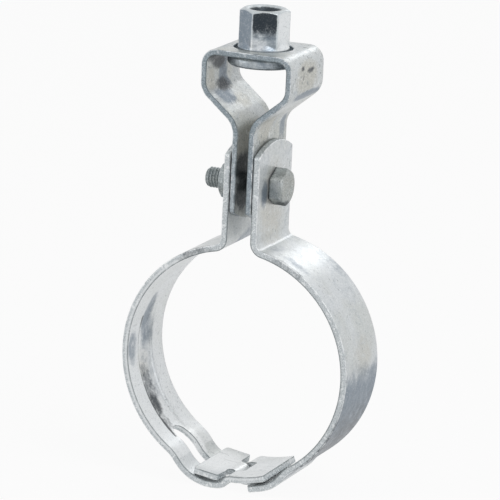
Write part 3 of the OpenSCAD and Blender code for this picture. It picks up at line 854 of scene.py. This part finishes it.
side = [
    bend((yokeHalf - cornerOut, yokeTop - cornerOut), cornerOut, yokeSizes["cornerRadius"], 90, 0),
    bend((yokeHalf - sideOut, yokeTop - yokeSizes["side"] + sideOut * slantReach), sideOut,
         yokeSizes["sideRadius"], 0, -yokeSizes["slant"]),
    bend((legHalf + yokeSizes["legRadius"], slantFoot - yokeSizes["legRadius"] * slantReach),
         yokeSizes["legRadius"], yokeSizes["legRadius"] + yokeSizes["thick"], 180 - yokeSizes["slant"], 180),
]
mirrored = [bend((-b["centre"][0], b["centre"][1]), b["a"], b["b"], 180 - b["to"], 180 - b["from"])
            for b in reversed(side)]
rawEnds = [(np.array([k * legHalf, legEnd]), np.array([k * (legHalf - yokeSizes["thick"]), legEnd])) for k in (-1, 1)]
yokePath = makePath(mirrored + side, rawEnds[0], rawEnds[1])
total = yokePath["s"][-1]
endS = legCentre - legEnd
outline = easeCorners(
    [(*p, 0) for p in roundedEnd(endS, band["endRadius"], yokeSizes["width"], yokeSizes["cornerEase"], -1)]
    + [(*p, 0) for p in reversed(roundedEnd(total - endS, band["endRadius"], yokeSizes["width"],
                                            yokeSizes["cornerEase"], 1))])
holeS = band["boltHeight"] - legEnd
holes = [[np.array([s, 0]) + polar(r, a) for a in range(0, 360, step)]
         for s, r, step in ((holeS, band["holeRadius"], 6), (total / 2, yokeSizes["hole"], 3),
                            (total - holeS, band["holeRadius"], 6))]
yokeStrap = formStrap("yokeStrap", yokePath, outline, holes, yokeSizes["width"])
dipInZinc(yokeStrap, 0.10, 0.15, 3)
# painted shadow in the inner top corner, down the left wall and in the gap between the legs; blue-grey painted shade
# and dark reflections on the left wall and slant
markTones(yokeStrap, [
    ("darkStainAndShadow", (-14.2, -7, 117.4), (3.4, 12, 3.6), 1.2), ("darkStainAndShadow", (-15.4, -4, 115), (2, 9, 4), 1.2),
    ("paintedShade", (-15.4, 0, 110), (2, 6, 13), 1.1), ("darkStainAndShadow", (-15.4, 1, 111), (1.8, 4, 10), 0.4),
    ("paintedShade", (-11.4, -6, 105.5), (4.3, 11, 4.3), 1.3), ("paintedShade", (-9.6, -6, 103.3), (4.3, 9, 4.3), 1.1),
    ("darkStainAndShadow", (-13.1, -2, 107.1), (4.2, 10, 4.2), 1.2), ("beige", (-15.4, -12, 110), (2, 6, 6), 0.9),
    ("beige", (-9, 1, 99), (5, 9, 8), 0.6), ("beige", (-2.3, -2, 84), (1.5, 20, 14), 0.9),
    ("darkStainAndShadow", (-2.2, -8, 77), (1.2, 14, 7), 0.9), ("darkStainAndShadow", (-2.2, -8, 66), (1.2, 14, 10), 0.7),
    # painted light on the left leg's front edge; painted shade on the right wall's lower edge and the far side; the
    # small dark spots on the right wall are specks and the beige spots zinc colour
    ("pale", (-3.2, -16, 70), (1.4, 1.5, 24), 0.3),
    ("beige", (18.6, 0, 112), (3, 13, 9), 0.9), ("darkStainAndShadow", (18.6, 3, 114.6), (1.5, 5, 1.4), 0.8),
    ("darkStainAndShadow", (18.6, -4.5, 116), (1.5, 2.2, 1.4), 0.8), ("darkStainAndShadow", (18.6, -4, 112.5), (1.5, 0.9, 2.2), 0.6),
    ("paintedShade", (17.0, 4, 105), (3, 16, 2.6), 1.1),
    ("beige", (6, -6, 92), (5, 9, 10), 0.9), ("paintedShade", (5, 11, 90), (3, 4, 10), 0.6)])
finishPiece(yokeStrap, yokeZinc, "hanger_yoke", "yoke")
print("yoke formed")

# swivel nut

swivel = {
    "flats": 17.0, "height": 14.9, "cone": 2.2, "collar": 9.915, "flange": 13.615, "flangeThick": 4.2, "turned": 6.4,
    "flangeTop": 119.2, "bore": 4.0, "threadDepth": 0.75, "pitch": 1.5875, "mouth": 6.7, "corner": 0.7,
    "flatInset": 0.5, "chamfer": 1.0, "turns": 144, "rowStep": 0.14, "threadFade": 1.2,
}


def boreLoops(turn, top, low, radius, depth, pitch, step, fade, mouth):
    # rows of a threaded bore from its top to its bottom; the thread fades into both mouths
    rows = []
    count = math.ceil((top - low) / step)
    for k in range(count + 1):
        z = top + (low - top) * k / count
        near = np.clip(min(top - z, z - low) / fade, 0, 1)
        groove = threadRadius(turn, z, radius + depth, depth, pitch) - radius
        opening = max(0.0, mouth - (z - low)) if mouth else 0.0
        rows.append(ringLoop(turn, radius + groove * near + opening, z))
    return rows


turn = np.radians(np.arange(swivel["turns"]) * 360 / swivel["turns"])
# corners point nearly along Y, as on the CAD nut
hexTurn = turn + math.radians(90 - swivel["turned"])
hexPairs = hexLoops(turn, swivel["flats"], swivel["height"], swivel["flats"] / 2 - swivel["flatInset"],
                    swivel["corner"], 0.3, False)
sideRadius = hexRadius(turn, swivel["flats"], swivel["corner"])
loops = []
flangeLow = swivel["flangeTop"] - swivel["flangeThick"]
edge = swivel["chamfer"]
flangeProfile = [
    (swivel["bore"] + 0.9, flangeLow), (swivel["flange"] * 0.7, flangeLow), (swivel["flange"] - edge - 0.25, flangeLow),
    (swivel["flange"] - edge + 0.1, flangeLow + 0.08), (swivel["flange"] - 0.12, flangeLow + edge - 0.15),
    (swivel["flange"], flangeLow + edge + 0.2), (swivel["flange"], swivel["flangeTop"] - edge - 0.2),
    (swivel["flange"] - 0.12, swivel["flangeTop"] - edge + 0.15), (swivel["flange"] - edge + 0.1, swivel["flangeTop"] - 0.08),
    (swivel["flange"] - edge - 0.25, swivel["flangeTop"]), (swivel["collar"] + 0.8, swivel["flangeTop"]),
    (swivel["collar"] + 0.1, swivel["flangeTop"] + 0.12), (swivel["collar"], swivel["flangeTop"] + 0.7),
    (swivel["collar"], yokeTop - 0.5), (swivel["collar"], yokeTop - 0.1)]
for r, z in flangeProfile:
    loops.append(ringLoop(hexTurn, np.full_like(turn, r), z))
for k in range(9):
    # the cone that blends the round collar into the hexagon
    u = k / 8
    cone = swivel["collar"] - (swivel["collar"] - swivel["flats"] / 2) * u
    loops.append(ringLoop(hexTurn, np.maximum(sideRadius, cone), yokeTop + 0.05 + (swivel["cone"] - 0.05) * u))
for pair in hexPairs:
    keep = pair[1] + yokeTop > yokeTop + swivel["cone"] + 0.2
    if np.all(keep):
        loops.append(np.stack([pair[0] * np.cos(hexTurn), pair[0] * np.sin(hexTurn), pair[1] + yokeTop], 1))
swivelTop = yokeTop + swivel["height"]
mouthDrop = swivel["mouth"] - swivel["bore"]
for r, z in ((swivel["mouth"] + 0.25, swivelTop), (swivel["mouth"] + 0.06, swivelTop - 0.04),
             (swivel["mouth"] - 0.15, swivelTop - 0.2)):
    loops.append(ringLoop(hexTurn, np.full_like(turn, r), z))
for k in range(1, 7):
    u = k / 6
    loops.append(ringLoop(hexTurn, np.full_like(turn, swivel["mouth"] - 0.15 - (mouthDrop - 0.35) * u),
                          swivelTop - 0.2 - (mouthDrop - 0.2) * u))
loops += boreLoops(hexTurn, swivelTop - mouthDrop - 0.15, flangeLow + 0.5, swivel["bore"], swivel["threadDepth"],
                   swivel["pitch"], swivel["rowStep"], swivel["threadFade"], 0.0)
loops.append(ringLoop(hexTurn, np.full_like(turn, swivel["bore"] + 0.35), flangeLow + 0.15))
swivelNut = loopsToMesh("swivelNut", loops, True)
dipInZinc(swivelNut, 0.05, 0, 4)
points = cornersOf(swivelNut)
facing = np.degrees(np.arctan2(points[:, 1], points[:, 0])) + swivel["turned"]
out = np.hypot(points[:, 0], points[:, 1])
flatTop = swivelTop - (out - swivel["flats"] / 2 + swivel["flatInset"]) * math.tan(math.radians(30))
onFlat = (out > swivel["mouth"] + 0.5) * np.clip((flatTop - points[:, 2]) / 0.35, 0, 1) * (points[:, 2] > yokeTop)
frontFlat, leftFlat, rightFlat = (onFlat * np.clip((29.5 - np.abs(facing - f)) / 2.5, 0, 1) for f in (-60, -120, 0))
flange = points[:, 2] < swivel["flangeTop"]
inBore = (out < swivel["mouth"]) * np.clip((swivelTop - 0.4 - points[:, 2]) / 0.8, 0, 1)
# painted light and shade by facet: the front flat is painted dark, most at its top, the left flat blue-grey and the
# right flat pale; a painted highlight by the cone; painted shadow fills the bore and painted shade lies on the flange
markTones(swivelNut, [("pale", (0.5, -9, 124), (6, 4, 2.6), 1.1)], {
    "darkStainAndShadow": frontFlat * np.clip((points[:, 2] - 125.5) / 5, 0, 1) + 0.2 * flange + 1.2 * inBore,
    "paintedShade": 0.75 * leftFlat + 0.5 * frontFlat + 0.45 * flange, "pale": 0.6 * rightFlat})
finishPiece(swivelNut, nutZinc, "rod_nut", "swivel_nut")
print("swivel nut turned")

# clamp bolt and nut

clamp = {
    "radius": 4.0, "length": 28.0, "threadDepth": 0.68, "pitch": 1.25, "flats": 13.0, "head": 5.5, "nut": 6.5,
    "corner": 0.5, "flatInset": 0.3, "tip": 0.8, "turns": 120, "rowStep": 0.13, "gap": 0.05, "dish": 0.25,
}
turn = np.radians(np.arange(clamp["turns"]) * 360 / clamp["turns"])
flatRadius = clamp["flats"] / 2 - clamp["flatInset"]
headSeat = band["stackHalf"]
loops = []
for k in range(0, math.ceil(clamp["length"] / clamp["rowStep"]) + 1):
    along = -clamp["length"] + k * clamp["rowStep"]
    if along > -0.25:
        break
    thread = threadRadius(turn, along, clamp["radius"], clamp["threadDepth"], clamp["pitch"])
    fade = np.clip((-along - 0.6) / 1.2, 0, 1)
    limit = clamp["radius"] - clamp["tip"] * 1.15 + (along + clamp["length"]) * 0.95
    loops.append(ringLoop(turn, np.minimum(clamp["radius"] - 0.12 + (thread - clamp["radius"] + 0.12) * fade, limit),
                          along))
loops.append(ringLoop(turn, np.full_like(turn, clamp["radius"]), -0.02))
loops.append(ringLoop(turn, np.full_like(turn, clamp["radius"] + 0.4), 0.0))
for pair in hexLoops(turn, clamp["flats"], clamp["head"], flatRadius, clamp["corner"], 0.25, False):
    loops.append(np.stack([pair[0] * np.cos(turn), pair[0] * np.sin(turn), pair[1]], 1))
for share, drop in ((0.82, 0.0), (0.74, 0.05), (0.68, 0.2), (0.6, 0.25), (0.3, 0.25)):
    loops.append(ringLoop(turn, np.full_like(turn, flatRadius * share), clamp["head"] - drop * clamp["dish"] / 0.25))
# local x and y become Y and Z, so a corner has to stand at 90 degrees
loops = [np.stack([-l[:, 1], l[:, 0], l[:, 2]], 1) for l in loops]
loops = [turnedToAxis(l, "+x", (headSeat, 0, band["boltHeight"])) for l in loops]
clampBolt = loopsToMesh("clampBolt", loops, False)
dipInZinc(clampBolt, 0.04, 0, 5)
headX = band["stackHalf"] + clamp["head"]
# painted shade on the flat facing away and on the lower chamfer, painted light on the upper flat, painted shadow where
# the head sits on the ear; beige is zinc colour
markTones(clampBolt, [
    ("paintedShade", (headX - 3, -8, 67), (5, 3, 9), 0.4), ("darkStainAndShadow", (headX - 1, -3, 62), (5, 7, 2.2), 0.7),
    ("pale", (headX - 2, -6, 71), (4, 3, 5), 0.45), ("beige", (headX, 2, 68.5), (1.5, 9, 9), 0.35),
    ("darkStainAndShadow", (headX - 5.5, 0, 68.5), (0.8, 14, 14), 1.0)])
finishPiece(clampBolt, boltZinc, "pipe_clamp", "clamp_bolt")

nutSeat = -band["stackHalf"]
loops = []
pairs = hexLoops(turn, clamp["flats"], clamp["nut"], flatRadius, clamp["corner"], 0.25, True)
inner = clamp["radius"] - clamp["threadDepth"] + clamp["gap"]
mouth = clamp["radius"] + 0.35
loops.append(ringLoop(turn, np.full_like(turn, mouth), 0.0))
loops += [np.stack([p[0] * np.cos(turn), p[0] * np.sin(turn), p[1]], 1) for p in pairs]
loops.append(ringLoop(turn, np.full_like(turn, mouth + 0.4), clamp["nut"]))
loops.append(ringLoop(turn, np.full_like(turn, mouth), clamp["nut"]))
count = math.ceil((clamp["nut"] - 0.9) / clamp["rowStep"])
for k in range(count + 1):
    along = clamp["nut"] - 0.45 - (clamp["nut"] - 0.9) * k / count
    # the nut's thread follows the bolt's, which runs from the head's seat
    onBolt = (nutSeat - along) - headSeat
    follow = threadRadius(math.pi - turn, onBolt, clamp["radius"], clamp["threadDepth"], clamp["pitch"])
    fade = np.clip(min(along, clamp["nut"] - along) / 1.0, 0, 1)
    loops.append(ringLoop(turn, np.maximum(follow + clamp["gap"], clamp["radius"] * (1 - fade) + inner * fade), along))
loops = [turnedToAxis(l, "-x", (nutSeat, 0, band["boltHeight"])) for l in loops]
clampNut = loopsToMesh("clampNut", loops, True)
dipInZinc(clampNut, 0.04, 0, 6)
# painted shade on the nut's lower side
markTones(clampNut, [("paintedShade", (-11, 0, 64), (5, 8, 5), 0.5)])
finishPiece(clampNut, boltZinc, "pipe_clamp", "clamp_nut")
print("bolt and nut turned")

# floor, light and camera

studio = {
    "floorSize": 8.0, "floorColour": (0.80, 0.80, 0.80), "floorGlow": 0.93,
    "worldDiffuse": 0.4,
    "keySize": 0.7, "keyPower": 6.0, "keyPlace": (0.8, -0.3, 1.3),
    "sideSize": 0.6, "sidePower": 1.3, "sidePlace": (1.2, -0.5, 0.2),
    "fillSize": 1.0, "fillPower": 3.0, "fillPlace": (-1.2, -1.0, 0.5),
    "backSize": 0.3, "backPower": 0.8, "backPlace": (0.0, 1.3, 0.68),
}


def seenRays(nodes, links):
    # 1 for the rays that show the background: camera, glossy and transmission
    path = nodes.new("ShaderNodeLightPath")
    total = path.outputs["Is Camera Ray"]
    for label in ("Is Glossy Ray", "Is Transmission Ray"):
        m = nodes.new("ShaderNodeMath")
        m.operation = "MAXIMUM"
        links.new(total, m.inputs[0])
        links.new(path.outputs[label], m.inputs[1])
        total = m.outputs[0]
    return total


floorLevel = cadBox[0].z
bpy.ops.mesh.primitive_plane_add(size=studio["floorSize"], location=(0, 0, floorLevel))
floor = bpy.context.object
floor.name = "floor"
paper = bpy.data.materials.new("paper")
paper.use_nodes = True
nodes, links = paper.node_tree.nodes, paper.node_tree.links
nodes.clear()
matt = nodes.new("ShaderNodeBsdfDiffuse")
matt.inputs["Color"].default_value = (*studio["floorColour"], 1)
glow = nodes.new("ShaderNodeEmission")
glow.inputs["Strength"].default_value = 1.0
share = nodes.new("ShaderNodeMath")
share.operation = "MULTIPLY"
share.inputs[1].default_value = studio["floorGlow"]
links.new(seenRays(nodes, links), share.inputs[0])
both = nodes.new("ShaderNodeMixShader")
links.new(share.outputs[0], both.inputs[0])
links.new(matt.outputs[0], both.inputs[1])
links.new(glow.outputs[0], both.inputs[2])
out = nodes.new("ShaderNodeOutputMaterial")
links.new(both.outputs[0], out.inputs["Surface"])
floor.data.materials.append(paper)

world = bpy.data.worlds.new("studio")
bpy.context.scene.world = world
world.use_nodes = True
nodes, links = world.node_tree.nodes, world.node_tree.links
nodes.clear()
strength = nodes.new("ShaderNodeMapRange")
strength.inputs["To Min"].default_value = studio["worldDiffuse"]
strength.inputs["To Max"].default_value = 1.0
links.new(seenRays(nodes, links), strength.inputs["Value"])
sky = nodes.new("ShaderNodeBackground")
sky.inputs["Color"].default_value = (1, 1, 1, 1)
links.new(strength.outputs["Result"], sky.inputs["Strength"])
out = nodes.new("ShaderNodeOutputWorld")
links.new(sky.outputs[0], out.inputs["Surface"])


def softBox(name, size, power, place):
    lamp = bpy.data.lights.new(name, "AREA")
    lamp.size, lamp.energy = size, power
    made = bpy.data.objects.new(name, lamp)
    made.location = place
    made.visible_camera = False
    made.rotation_euler = (Vector((0, 0, 0.04)) - Vector(place)).to_track_quat("-Z", "Y").to_euler()
    bpy.context.scene.collection.objects.link(made)


softBox("key", studio["keySize"], studio["keyPower"], studio["keyPlace"])
softBox("side", studio["sideSize"], studio["sidePower"], studio["sidePlace"])
softBox("fill", studio["fillSize"], studio["fillPower"], studio["fillPlace"])
softBox("back", studio["backSize"], studio["backPower"], studio["backPlace"])

# the hanger stands a little askew in the photo, so the camera leans instead of the object
shot = {"azimuth": 23.6, "elevation": 12.79, "distance": 1.553, "target": (0.00043, 0, 0.04183),
        "pixelsAcross": 500, "focalPixels": 4037.0, "sensor": 36.0, "lean": 2.77, "right": -0.0002, "up": 0.0001}
lens = bpy.data.cameras.new("camera")
lens.sensor_width = shot["sensor"]
lens.lens = shot["sensor"] * shot["focalPixels"] / shot["pixelsAcross"]
lens.clip_start, lens.clip_end = 0.01, 50
az, el = math.radians(shot["azimuth"]), math.radians(shot["elevation"])
away = Vector((math.sin(az) * math.cos(el), -math.cos(az) * math.cos(el), math.sin(el)))
camera = bpy.data.objects.new("camera", lens)
level = (-away).to_track_quat("-Z", "Y").to_matrix()
spot = Vector(shot["target"]) + away * shot["distance"] + level @ Vector((shot["right"], shot["up"], 0))
lean = Matrix.Rotation(-math.radians(shot["lean"]), 3, "Y")
camera.location = lean @ spot
camera.rotation_euler = (lean @ level).to_euler()
bpy.context.scene.collection.objects.link(camera)
bpy.context.scene.camera = camera
bpy.context.scene.view_settings.view_transform = "Standard"
print("studio set")
